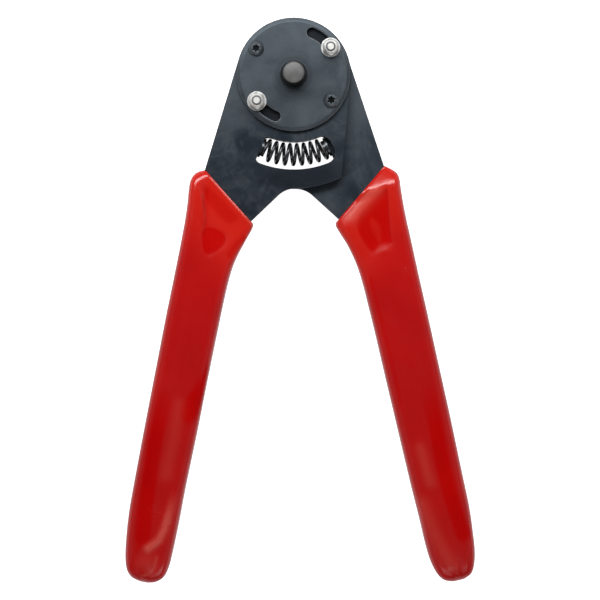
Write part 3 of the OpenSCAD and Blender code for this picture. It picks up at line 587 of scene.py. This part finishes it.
def off_line(x, y, line):
    """Distance to a line of points."""
    best = np.full(x.shape, 1e9)
    for (ax, ay), (bx, by) in zip(line[:-1], line[1:]):
        dx, dy = bx - ax, by - ay
        t = np.clip(((x - ax) * dx + (y - ay) * dy) / (dx * dx + dy * dy + 1e-12), 0, 1)
        best = np.minimum(best, np.hypot(x - ax - t * dx, y - ay - t * dy))
    return best


def near_line(x, y, line, width):
    """Bell-shaped weight of the distance to a line of points."""
    return np.exp(-(off_line(x, y, line) / width) ** 2)


def near_spot(x, y, cx, cy, rx, ry):
    """Bell-shaped weight round a spot of the given half sizes."""
    u, v = (x - cx) / rx, (y - cy) / ry
    return np.exp(-(u * u + v * v))


def inside_outline(x, y, corners, soft):
    """1 inside a smooth closed line through the corners, 0 outside, eased over soft mm."""
    ring = np.array(corners[-2:] + corners + corners[:2], dtype=float)
    line = smooth_curve(ring, np.linspace(2, len(corners) + 2, 6 * len(corners) + 1))
    within = np.zeros(x.shape, dtype=bool)
    for (ax, ay), (bx, by) in zip(line[:-1], line[1:]):
        if ay != by:
            within ^= ((ay > y) != (by > y)) & (x < ax + (y - ay) * (bx - ax) / (by - ay))
    off = off_line(x, y, line)
    return ease(np.where(within, off, -off), -soft / 2, soft / 2)


def below_mouth(stations, x, y):
    """Distance below the slanting mouth."""
    (ax, ay), (bx, by) = stations[0, :2], stations[0, 2:4]
    length = math.hypot(bx - ax, by - ay)
    return ((x - ax) * (by - ay) - (y - ay) * (bx - ax)) / length


def by_steps(value, steps):
    """Eased level between steps of (value, level)."""
    level = np.full(value.shape, float(steps[0][1]))
    for (a, before), (b, after) in zip(steps[:-1], steps[1:]):
        level += (after - before) * ease(value, a, b)
    return level


def pocket(down, x, y, full, crease, steps):
    """The vinyl clings to the plate inside a crease that follows the plate's edge."""
    crease = np.array(crease)
    past = x - np.interp(-y, -crease[:, 1], crease[:, 0])
    # the crease is soft at the mouth and sharper further down
    soft = 0.9 + 2.6 * (1 - ease(-y, 42, 52))
    inside = ease((past + 0.2) / soft, -1, 1)
    return (by_steps(down, steps) - full) * inside * (1 - ease(-y, 100, 130))


def left_front(x, y, full):
    """Relief, sunk places, and hazy painted sheen of the left sleeve's front, over the upper
    plate.
    """
    down = below_mouth(left_stations, x, y)
    # dents and folds, on the sleeve as drawn, in millimetres
    crease = [(-24.4, -47), (-23.3, -50.6), (-22.1, -54.5), (-21.0, -59), (-20.8, -75)]
    tear = [(-21.4, -62.2), (-19.8, -60.7), (-16.5, -60.8), (-13.6, -61.9), (-12.5, -64.1),
            (-13.3, -66.8), (-15.3, -69.0), (-17.1, -70.2), (-18.8, -70.1), (-20.2, -68.1),
            (-21.1, -65.0)]
    stretched = [(-22.7, -46.4), (-17.9, -49.0), (-13.2, -52.4), (-9.8, -55.0),
                 (-12.2, -57.7), (-15.3, -56.7), (-18.6, -54.2), (-22.3, -50.6)]
    flat = [(-10.5, -108.5), (-11.0, -113), (-13.4, -119), (-16.5, -127),
            (-14.5, -132), (-10.5, -130), (-9.5, -121), (-9.6, -112)]
    inner_fold = [(-6.4, -61.8), (-8.6, -65.0), (-10.2, -69.5)]
    outer_fold = [(-23.6, -47), (-22.0, -54), (-20.9, -60)]
    palm = [(-17.4, -126), (-16.8, -139.0), (-17.1, -152)]
    end_fold = [(-21.3, -178.5), (-23.1, -184.0), (-23.0, -188.0)]
    end_rim = [(-14.6, -182.0), (-14.7, -186.0), (-16.4, -188.9), (-18.8, -189.8)]
    stripe = near_line(x, y, [(-22.9, -124), (-23.4, -140), (-22.6, -155), (-22.0, -166),
                              (-21.0, -176)], 3.1)
    streak = near_line(x, y, [(-12.9, -158), (-13.3, -165.8), (-13.8, -171.1),
                              (-15.1, -175.8), (-18.4, -179.5)], 1.3)
    lip = (1 - ease(down, 0.5, 1.3)) * ease(x, -24.0, -21.0)
    relief = pocket(down + 2.2 * ease(x, -15, -6), x, y, full, crease,
                    [(0, 3.4), (4.5, 3.5), (21, 5.5)])
    relief -= 0.20 * inside_outline(x, y, tear, 3.0) + 0.30 * stripe
    relief -= 0.20 * near_line(x, y, inner_fold, 1.0)
    relief += 0.30 * streak + 0.16 * near_spot(x, y, -17.9, -184.8, 3.2, 3.0)
    sunk = (1.1 * inside_outline(x, y, tear, 0.9) + 0.55 * inside_outline(x, y, stretched, 1.6)
            + inside_outline(x, y, flat, 1.6) + ease(stripe, 0.20, 0.70) * ease(-y, 112, 140)
            + 0.7 * near_line(x, y, inner_fold, 0.9) + 0.6 * near_line(x, y, outer_fold, 1.2))
    sunk += (0.8 * near_line(x, y, end_fold, 0.5) + near_spot(x, y, -16.8, -188.6, 5.5, 2.6)
             + 0.5 * lip)
    # painted sheen: the streak, the end pad and its rim, the palm and the lip are painted lighter
    # and pinker where light glances off them
    haze_and_sheen = (1.1 * streak * ease(-y, 156, 170) + 0.25 * near_spot(x, y, -17.9, -184.8, 3.4, 3.4)
            + 0.4 * near_line(x, y, end_rim, 0.6) + 0.2 * near_line(x, y, palm, 2.4) + 0.8 * lip)
    return relief, sunk, haze_and_sheen


def right_front(x, y, full):
    """The same of the right sleeve's front, over the lower plate."""
    down = below_mouth(right_stations, x, y)
    # a wide shoulder at the outer corner, then the vinyl clings to the plate
    past_corner = -y - 39.6 - 0.22 * np.clip(x + 28.5, 0, 9)
    shoulder = np.interp(past_corner, [0, 4.0, 5.3, 6.5, 7.4, 9.5, 13],
                         [2.4, 4.35, 4.9, 5.25, 5.35, 5.38, 5.4])
    cling = by_steps(down, [(-2.0, 3.45), (5.4, 4.7), (14, 4.7), (24, 5.5)])
    crease = np.interp(-y, [47, 55.1, 60.6, 67.6, 75], [-24.4, -22.9, -22.0, -21.2, -20.8])
    relief = (shoulder - full) * (1 - ease(down, 9, 12)) * ease(full, 2.4, 3.0)
    relief += ((cling - full - relief) * ease(x - crease, -0.8, 0.9) * ease(-y, 45.8, 50.6)
               * (1 - ease(-y, 100, 130)))
    dish = [(-24.2, -48.0), (-23.7, -52.7), (-22.4, -60.3), (-21.9, -64), (-21.2, -67.8),
            (-17.2, -67.2), (-14.3, -69.3), (-12.3, -67.2), (-10.6, -61.8), (-10.7, -57.7),
            (-13.2, -54.1), (-17.7, -50.9), (-21.0, -49.2)]
    wedge = [(-16.5, -57.4), (-18.3, -60.6), (-18.2, -64.6), (-16.9, -66.5), (-15.6, -62.1),
             (-15.2, -59.2)]
    palm = [(-15.0, -143), (-15.6, -156)]
    fingers = [(-11.2, -163), (-12.6, -172), (-14.2, -179), (-16.8, -187)]
    mouth = [(-19.5, -46.8), (-14.0, -50.6), (-9.0, -54.2)]
    stripe = near_line(x, y, [(-22.2, -124), (-22.2, -136), (-21.6, -150), (-21.9, -163),
                              (-23.2, -177)], 3.0)
    edge = near_line(x, y, [(-11.0, -78.7), (-11.5, -92.2), (-11.8, -104), (-11.9, -118),
                            (-11.8, -126)], 1.0)
    # palm and finger marks, a little raised and painted with sheen
    rubbed = near_line(x, y, palm, 2.0) + near_line(x, y, fingers, 2.6)
    relief -= 0.32 * inside_outline(x, y, dish, 5.0) + 0.25 * stripe + 0.15 * edge
    relief += (0.12 * inside_outline(x, y, wedge, 2.4) + 0.15 * rubbed
               + 0.17 * near_spot(x, y, -17.8, -70.4, 2.2, 1.3))
    sunk = (inside_outline(x, y, dish, 1.2) - 0.6 * inside_outline(x, y, wedge, 1.6)
            + ease(stripe, 0.20, 0.70) * ease(-y, 112, 140) + 0.5 * ease(edge, 0.4, 0.8)
            + near_spot(x, y, -18.0, -190.0, 6.5, 2.8))
    # painted sheen: a lighter, pinker band along the mouth
    painted_sheen_band = near_line(x, y, mouth, 2.8) * ease(down, 0.6, 2.0)
    return relief, sunk, 0.3 * rubbed + 0.95 * painted_sheen_band


def back_side(stations):
    """Gives the function for a sleeve's back, which has fewer folds than the front."""
    crease = [(-24.2, -45), (-21.5, -58), (-20.8, -75)]
    grooved = [(-19.0, -120), (-19.6, -150), (-18.5, -172)]
    palm = [(-17.0, -125), (-17.6, -150), (-16.5, -176)]

    def surface(x, y, full):
        tear = near_spot(x, y, -16.0, -66.0, 4.2, 5.0)
        relief = pocket(below_mouth(stations, x, y), x, y, full, crease,
                        [(0, 3.4), (5.0, 3.6), (20, 5.5)])
        relief -= 0.3 * tear + 0.3 * near_line(x, y, grooved, 3.0)
        # the palm is painted with hazy sheen
        return relief, 0.6 * ease(tear, 0.3, 0.7), 0.35 * near_line(x, y, palm, 3.0)
    return surface


# The lever's tang under the sleeve, handles closed, in millimetres: a leaning flank, two
# straight edges, the crotch's leaning edge, and a rounded end.
tang_top_y, tang_slack = -39, 0.05
flank_lean, flank_off = math.radians(5.7), 20.5
crotch_lean, crotch_off = math.radians(35), 27.8
tang_outer_x, tang_inner_x, tang_end_y = -25.9, -11.2, -188.5
outer_round_r, inner_round_r = 10.0, 4.5


def plate_edges(points_out, points_in):
    """Shares of the way from outer to inner point at which the tang's two edges lie."""
    y = np.linspace(tang_top_y, tang_end_y, 1200)
    flank = -(flank_off / math.cos(flank_lean) - y * math.tan(flank_lean))
    outer = np.maximum(flank, tang_outer_x)
    low = np.clip(tang_end_y + outer_round_r - y, 0, outer_round_r)
    bend = tang_outer_x + outer_round_r - np.sqrt(outer_round_r ** 2 - low ** 2)
    outer = np.where(low > 0, bend, outer)
    crotch = (crotch_off + y * math.sin(crotch_lean)) / math.cos(crotch_lean)
    inner = np.maximum(crotch, tang_inner_x)
    low = np.clip(tang_end_y + inner_round_r - y, 0, inner_round_r)
    bend = tang_inner_x - inner_round_r + np.sqrt(inner_round_r ** 2 - low ** 2)
    inner = np.where(low > 0, bend, inner)
    shares = []
    for o, i in zip(points_out, points_in):
        t = np.linspace(-0.1, 1.1, 400)
        px, py = o[0] + (i[0] - o[0]) * t, o[1] + (i[1] - o[1]) * t
        inside = ((px >= np.interp(-py, -y, outer) - tang_slack)
                  & (px <= np.interp(-py, -y, inner) + tang_slack) & (py > tang_end_y))
        shares.append((t[inside][0], t[inside][-1]) if inside.any() else (0.5, 0.5))
    return np.array(shares)


def round_section(face, corner, side):
    """Columns round one ring: share of the flat half width, of the corner's width, of the
    flat half height and of the corner's height."""
    flat = np.linspace(-1, 1, face)
    bend = np.linspace(0, math.pi / 2, corner + 2)[1:-1]
    rise = np.linspace(1, -1, side)
    fullness = 0.8
    columns = []
    for s in (1, -1):
        sines = [s * math.sin(a) ** fullness for a in bend]
        cosines = [s * math.cos(a) ** fullness for a in bend]
        columns += [(s * u, 0, s, s) for u in flat]
        columns += [(s, sine, s, cosine) for sine, cosine in zip(sines, cosines)]
        columns += [(s, s, s * v, 0) for v in rise]
        columns += [(s, cosine, -s, -sine) for sine, cosine in zip(sines, cosines)]
    return np.array(columns)


def section_at(columns, half_width, half_height, rx, rz):
    """One ring's points, for its half sizes and the radii of its corners."""
    x = columns[:, 0] * (half_width - rx) + columns[:, 1] * rx
    z = columns[:, 2] * (half_height - rz) + columns[:, 3] * rz
    return x, z


def plain_skin(columns, middle, across, half_w, half_t):
    """Rings of the full rounded handle, before the vinyl's folds."""
    rings = []
    for i in range(len(middle)):
        x, z = section_at(columns, half_w[i], half_t[i],
                          min(edge_r, half_w[i] * edge_share_w), half_t[i] * edge_share_t)
        rings.append(np.column_stack([middle[i] + across[i] * x[:, None], z]))
    return np.array(rings)


def folded_skin(skin, columns, half_t, sign, stations, front, back):
    """The skin crowned, rippled, sunk or raised where the vinyl is, and its dullness, hazy sheen
    and painted light.
    """
    x, y, z = skin[..., 0], skin[..., 1], skin[..., 2]
    crown = crown_h * (1 - columns[:, 0] ** 2) ** 2 * ease(-y, 60, 90)
    ripple_x, ripple_y, ripple_z = ripples_per_mm
    wave = np.array([[noise.noise(Vector((px * ripple_x + ripples_apart * sign, py * ripple_y,
                                          pz * ripple_z)))
                      for px, py, pz in ring] for ring in skin])
    full = np.repeat(half_t[:, None], x.shape[1], axis=1)
    relief, sunk, haze_and_sheen = (np.where(z > 0, above, below)
                          for above, below in zip(front(x, y, full), back(x, y, full)))
    relief = relief + crown + ripple_h * wave * ease(-y, 75, 100)
    down = below_mouth(stations, x, y)
    # the channels: how dull, painted light near the mouth, and hazy painted sheen
    wear_and_painted_light = np.clip(np.stack([sunk, 1 - ease(down, 6, 30), haze_and_sheen], axis=2), 0, 1)
    z = z + np.sign(z) * np.clip(np.abs(z) / half_t[:, None], 0, 1) ** 3 * relief
    # the mouth ends in a bevelled lip on the plate
    low = plate_half_t + lip_over_plate
    bevel = lip_bevel_h * (1 - np.clip((down - 0.1) / lip_bevel_w, 0, 1))
    lip = np.maximum(np.abs(z) - bevel, low)
    lip = low + (lip - low) * np.clip(down / lip_wall_w, 0, 1)
    z = np.where(np.abs(z) > low, np.sign(z) * lip, z)
    return np.stack([x, y, z], axis=2), wear_and_painted_light


def lining(columns, middle, across, half_w, shares):
    """Rings of the inside, from its end to the mouth, a hair off the plate."""
    deep = [i for i in range(len(middle)) if shares[i, 1] - shares[i, 0] > least_share]
    rings = []
    for i in deep[::-4]:
        reach = (shares[i, 1] - shares[i, 0]) * half_w[i]
        x, z = section_at(columns, reach, plate_half_t + lining_room, lining_r, lining_r)
        x = x + (shares[i, 0] + shares[i, 1] - 1) * half_w[i]
        rings.append(np.column_stack([middle[i] + across[i] * x[:, None], z]))
    return np.array(rings)


def make_grip(name, sign, mid_z, stations, front, back):
    """Sleeve with its rolled mouth and its inside, drawn closed on the left and turned open."""
    columns = round_section(face=58, corner=10, side=4)
    # the rings stand closer where the vinyl folds
    at = np.concatenate([np.linspace(0, 0.5, 11)[:-1], np.linspace(0.5, 8, 96)[:-1],
                         np.linspace(8, 14, 84)[:-1], np.linspace(14, len(stations) - 1, 36)])
    rows = smooth_curve(stations, at)
    outer, inner, half_t = rows[:, 0:2], rows[:, 2:4], rows[:, 4]
    half_w = np.linalg.norm(inner - outer, axis=1) / 2
    across = (inner - outer) / (2 * half_w[:, None])
    middle = (inner + outer) / 2
    skin = plain_skin(columns, middle, across, half_w, half_t)
    skin, wear_and_painted_light = folded_skin(skin, columns, half_t, sign, stations, front, back)
    inside = lining(columns, middle, across, half_w, plate_edges(outer, inner))
    rings = np.concatenate([inside, skin])
    wear_and_painted_light = np.concatenate([np.zeros(inside.shape), wear_and_painted_light])
    count, per = rings.shape[:2]
    turn_open = Matrix.Rotation(-lever_lean, 3, "Z")
    points = [turn_open @ Vector(p) for p in rings.reshape(-1, 3)]
    points = [(-sign * p.x * mm, p.y * mm, mid_z + p.z * mm) for p in points]
    faces = [tuple(range(per))]
    for i in range(count - 1):
        for k in range(per):
            a, b = i * per + k, i * per + (k + 1) % per
            faces.append((a, a + per, b + per, b))
    faces.append(tuple(reversed(range((count - 1) * per, count * per))))
    if sign > 0:
        faces = [tuple(reversed(f)) for f in faces]
    piece = new_piece(name, points, faces)
    noted = piece.data.attributes.new("wear_and_painted_light", "FLOAT_VECTOR", "POINT")
    noted.data.foreach_set("vector", wear_and_painted_light.ravel())
    return piece


def red_vinyl(name):
    """Glossy dipped vinyl: red with painted light near the mouth and painted sheen, soft ripples,
    dull in the sunk places and where rubbed.
    """
    made, tree, shader = new_finish(name, Coat_Roughness=0.06)
    where = place_on_piece(tree)
    wear_and_painted_light = add(tree, "Attribute", attribute_name="wear_and_painted_light").outputs["Vector"]
    sunk, painted_light_near_mouth, haze_and_sheen = add(tree, "SeparateXYZ", {0: wear_and_painted_light}).outputs
    tree.links.new(spread(tree, sunk, 0, 1, 0.5, 0.08), shader.inputs["Specular IOR Level"])
    tree.links.new(spread(tree, sunk, 0, 1, 0.25, 0.0), shader.inputs["Coat Weight"])
    cloud = grain(tree, where, 28 * mm, detail=3, warp=0.5)
    rub = grain(tree, where, 9 * mm, detail=6, warp=0.8)
    skin = grain(tree, where, 1.1 * mm, detail=3)
    base = mixed(tree, spread(tree, cloud, 0.3, 0.7),
                 (0.47, 0.0012, 0.0016, 1), (0.55, 0.0022, 0.0018, 1))
    # painted light: the red is painted lighter towards the mouth, less in the sunk places; painted
    # sheen, lighter and pinker, where the hand rubs and along the streaks and the lip
    unsunk = maths(tree, "SUBTRACT", 1, maths(tree, "MULTIPLY", sunk, 0.8))
    base = mixed(tree, maths(tree, "MULTIPLY", painted_light_near_mouth, unsunk), base, (0.62, 0.0100, 0.0030, 1))
    base = over(tree, base, haze_and_sheen, 0.75, (0.70, 0.092, 0.066, 1))
    tree.links.new(base, shader.inputs["Base Color"])
    rough = maths(tree, "ADD", spread(tree, cloud, 0.3, 0.7, 0.14, 0.2),
                  spread(tree, rub, 0.55, 0.8, 0, 0.14))
    rough = maths(tree, "ADD", rough, maths(tree, "MULTIPLY", haze_and_sheen, 0.12))
    tree.links.new(rough, shader.inputs["Roughness"])
    tree.links.new(fine_bump(tree, skin, 0.010 * mm), shader.inputs["Normal"])
    return made


# the sleeve's own measures, in millimetres and shares: its hollow, its long rounded
# edges, the crown and ripples of its broad sides, and its lip
plate_half_t, lining_room, lining_r, least_share = 2.0, 0.03, 0.1, 0.02
edge_r, edge_share_w, edge_share_t = 4.3, 0.9, 0.84
crown_h, ripple_h = 0.30, 0.16
ripples_per_mm, ripples_apart = (0.09, 0.035, 0.2), 7
lip_over_plate, lip_wall_w, lip_bevel_h, lip_bevel_w = 0.12, 0.12, 0.26, 0.62


vinyl = red_vinyl("red_vinyl")
for side, sign, stations, front in (("left", -1, left_stations, left_front),
                                    ("right", 1, right_stations, right_front)):
    low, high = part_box(side + "_lever")
    grip = make_grip(side + "_grip_sleeve", sign, (low.z + high.z) / 2, stations, front,
                     back_side(stations))
    paint(grip, vinyl)
    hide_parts(side + "_grip")
    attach(grip, side + "_half")


# Table and light: a white sweep under the tool, a large soft box behind the head, a
# small one to the left of it and a wide one below the handles. The studio round
# them is bright at the horizon and dim straight above, where the camera hangs.

table_gap, table_reach = 0.1 * mm, 4.0
table_z = cad_box[0].z - table_gap
table_mesh = bpy.data.meshes.new("table")
table_mesh.from_pydata([(x * table_reach, y * table_reach, table_z)
                        for x, y in ((-1, -1), (1, -1), (1, 1), (-1, 1))], [], [(0, 1, 2, 3)])
table = bpy.data.objects.new("table", table_mesh)
bpy.context.scene.collection.objects.link(table)
white, sweep, cloth = new_finish("white_table", Base_Color=(0.90, 0.90, 0.90, 1), Roughness=0.9,
                                 Specular_IOR_Level=0.1, Emission_Color=(1, 1, 1, 1))
# the table glows: at full strength to the camera, so it shows evenly white without shadows, and at
# a quarter of that as light on the tool
seen = add(sweep, "LightPath").outputs["Is Camera Ray"]
sweep.links.new(spread(sweep, seen, 0, 1, 0.25, 1.0), cloth.inputs["Emission Strength"])
paint(table, white)
table.visible_glossy = False


def soft_box(name, place, aim, size, power):
    """A rectangular lamp of the given size in metres and power in watts, turned to its aim."""
    lamp = bpy.data.lights.new(name, "AREA")
    lamp.shape = "RECTANGLE"
    lamp.size, lamp.size_y = size
    lamp.energy = power
    made = bpy.data.objects.new(name, lamp)
    made.visible_camera = False
    made.location = place
    made.rotation_mode = "QUATERNION"
    made.rotation_quaternion = (Vector(aim) - Vector(place)).to_track_quat("-Z", "Y")
    bpy.context.scene.collection.objects.link(made)


soft_box("soft_box_head", place=(-0.02, 0.19, 0.32), aim=(0, -0.06, 0),
         size=(0.5, 0.13), power=1.6)
soft_box("soft_box_left", place=(-0.27, 0.20, 0.47), aim=(0, -0.05, 0),
         size=(0.26, 0.26), power=0.12)
soft_box("soft_box_handles", place=(0.12, -0.80, 0.62), aim=(0, -0.10, 0),
         size=(0.7, 0.35), power=1.25)

world = bpy.data.worlds.new("studio")
bpy.context.scene.world = world
world.use_nodes = True
sky = world.node_tree
upward = add(sky, "SeparateXYZ", {0: add(sky, "TexCoord").outputs["Generated"]}).outputs[2]
glow = add(sky, "ValToRGB", {0: upward})
stops = glow.color_ramp.elements
at_horizon, at_zenith = (0.70, 0.70, 0.70, 1), (0.10, 0.10, 0.10, 1)
stops[0].position, stops[0].color = 0.0, at_horizon
stops[1].position, stops[1].color = 1.0, at_zenith
for position, value in ((0.15, 0.32), (0.35, 0.22), (0.60, 0.28), (0.80, 0.20), (0.94, 0.14)):
    stop = stops.new(position)
    stop.color = (value, value, value, 1)
lit = sky.nodes["Background"]
sky.links.new(glow.outputs[0], lit.inputs["Color"])
backdrop = add(sky, "Background", {"Color": (0.92, 0.92, 0.92, 1), "Strength": 1.0})
seen = add(sky, "LightPath").outputs["Is Camera Ray"]
both = add(sky, "MixShader", {0: seen, 1: lit.outputs[0], 2: backdrop.outputs[0]})
sky.links.new(both.outputs[0], sky.nodes["World Output"].inputs["Surface"])


# Camera: straight above the tool, as the photograph was taken, turned by three
# quarters of a degree because the tool lies a little askew in the frame.

camera_x, camera_y, camera_height = 1.21 * mm, -82.14 * mm, 1006 * mm
camera_turn = math.radians(-0.76)
camera_data = bpy.data.cameras.new("camera")
camera_data.sensor_width = 36
camera_data.lens = 163.9
camera_data.clip_start, camera_data.clip_end = 0.01, 20
camera = bpy.data.objects.new("camera", camera_data)
camera.location = (camera_x, camera_y, camera_height)
camera.rotation_euler = (0, 0, camera_turn)
bpy.context.scene.collection.objects.link(camera)
bpy.context.scene.camera = camera
bpy.context.scene.view_settings.view_transform = "Standard"
